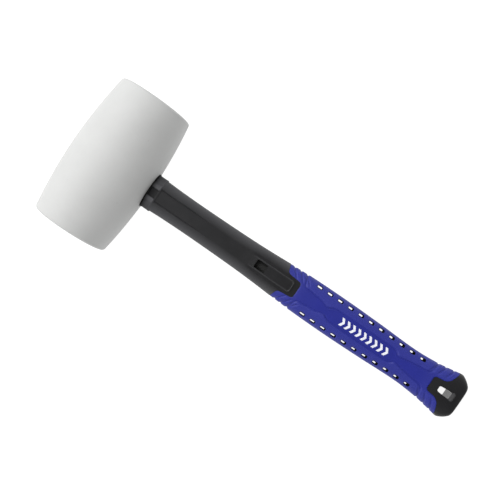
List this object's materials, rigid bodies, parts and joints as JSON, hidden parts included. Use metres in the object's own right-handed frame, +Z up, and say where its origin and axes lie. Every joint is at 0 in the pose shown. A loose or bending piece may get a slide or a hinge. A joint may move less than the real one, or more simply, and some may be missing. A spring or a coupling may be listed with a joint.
{
  "type": "rubber mallet",
  "caption": "Rubber mallet with a barrel-shaped white rubber head on a jacketed glass-fibre handle with a slotted soft grip and a hanging eye in the butt.",
  "frame": {"origin": "middle of the underside of the bounding box, on the surface that the mallet lies on", "axes": "+X from the head to the butt, +Y along the head from one striking face to the other, +Z up as the mallet lies on its side. The handle drops 4.43 degrees towards the butt, because the mallet rests on the barrel of its head and on its butt."},
  "size_m": [0.3234, 0.11, 0.0653],
  "materials": {
    "head_rubber": "matte",
    "epoxy": "satin",
    "jacket_plastic": "satin",
    "core_glass_fibre": "satin",
    "grip_elastomer": "matte"
  },
  "bodies": {
    "root": {"rubber_head": "head_rubber", "epoxy_bond": "epoxy", "handle_jacket": "jacket_plastic", "glass_fibre_core": "core_glass_fibre", "soft_grip": "grip_elastomer"}
  },
  "joints": []
}
